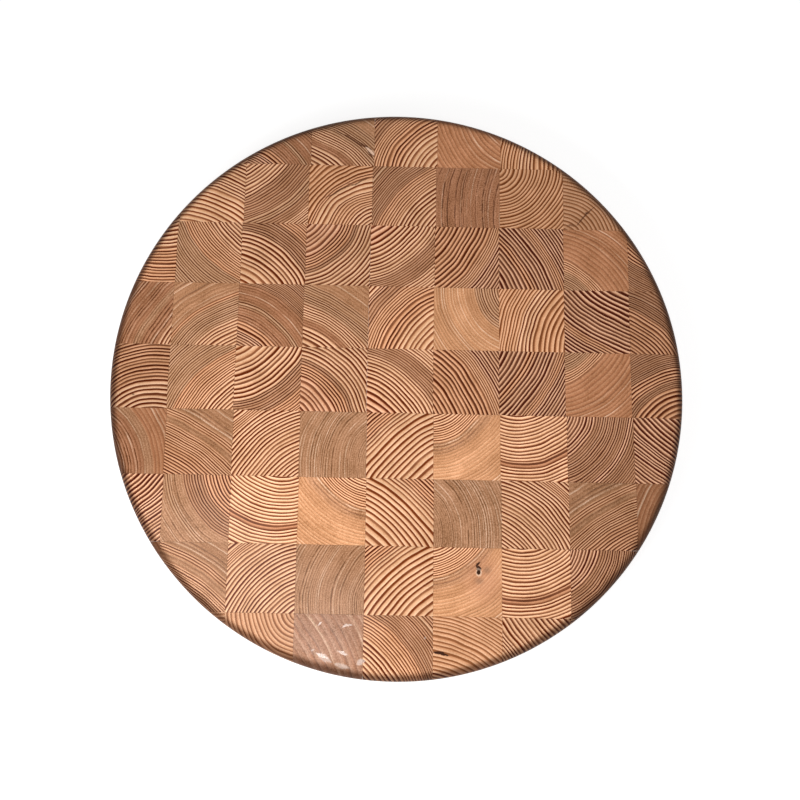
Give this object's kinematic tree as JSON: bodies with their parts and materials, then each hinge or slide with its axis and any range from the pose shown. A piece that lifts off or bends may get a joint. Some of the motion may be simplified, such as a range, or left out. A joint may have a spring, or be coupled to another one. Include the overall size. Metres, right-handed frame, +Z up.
{
  "type": "round chopping block",
  "caption": "Thick round end-grain chopping block glued up from square staves in a checked grid, with rounded edges and low screwed rubber feet.",
  "frame": {"origin": "on the worktop, under the centre of the round board", "axes": "+Z up, square to the board's face; +Y to the back, which is the top of the picture; +X to the right"},
  "size_m": [0.4444, 0.4444, 0.0588],
  "materials": {
    "light_stave": "oiled end grain with wide pale rings",
    "grey_stave": "oiled end grain with fine grey-brown rings",
    "red_stave": "oiled end grain, reddish-brown heartwood",
    "dark_stave": "oiled end grain with strong dark rings",
    "orange_stave": "oiled end grain, smooth orange resinous wood",
    "rubber_foot": "matt moulded rubber",
    "stainless_steel": "plain stainless steel"
  },
  "bodies": {
    "root": {"block_row2_col2": "light_stave", "block_row2_col3": "red_stave", "block_row2_col4": "light_stave", "block_row2_col5": "grey_stave", "block_row2_col6": "dark_stave", "block_row2_col7": "light_stave", "block_row2_col8": "light_stave", "block_row3_col2": "grey_stave", "block_row3_col3": "grey_stave", "block_row3_col4": "light_stave", "block_row3_col5": "light_stave", "block_row3_col6": "light_stave", "block_row3_col7": "dark_stave", "block_row3_col8": "orange_stave", "block_row4_col2": "grey_stave", "block_row4_col3": "grey_stave", "block_row4_col4": "grey_stave", "block_row4_col5": "light_stave", "block_row4_col6": "orange_stave", "block_row4_col7": "light_stave", "block_row4_col8": "dark_stave", "block_row5_col2": "grey_stave", "block_row5_col3": "grey_stave", "block_row5_col4": "light_stave", "block_row5_col5": "light_stave", "block_row5_col6": "light_stave", "block_row5_col7": "dark_stave", "block_row5_col8": "orange_stave", "block_row6_col2": "grey_stave", "block_row6_col3": "light_stave", "block_row6_col4": "grey_stave", "block_row6_col5": "light_stave", "block_row6_col6": "orange_stave", "block_row6_col7": "light_stave", "block_row6_col8": "grey_stave", "block_row7_col2": "grey_stave", "block_row7_col3": "light_stave", "block_row7_col4": "orange_stave", "block_row7_col5": "light_stave", "block_row7_col6": "grey_stave", "block_row7_col7": "light_stave", "block_row7_col8": "grey_stave", "block_row8_col2": "grey_stave", "block_row8_col3": "light_stave", "block_row8_col4": "grey_stave", "block_row8_col5": "light_stave", "block_row8_col6": "orange_stave", "block_row8_col7": "light_stave", "block_row8_col8": "grey_stave", "foot_screws": "stainless_steel", "foot_washers": "stainless_steel", "rim_blocks_back": "light_stave", "rim_blocks_front": "light_stave", "rim_blocks_left": "light_stave", "rim_blocks_right": "light_stave", "rubber_foot_back_left": "rubber_foot", "rubber_foot_back_right": "rubber_foot", "rubber_foot_front_left": "rubber_foot", "rubber_foot_front_right": "rubber_foot"}
  },
  "joints": []
}
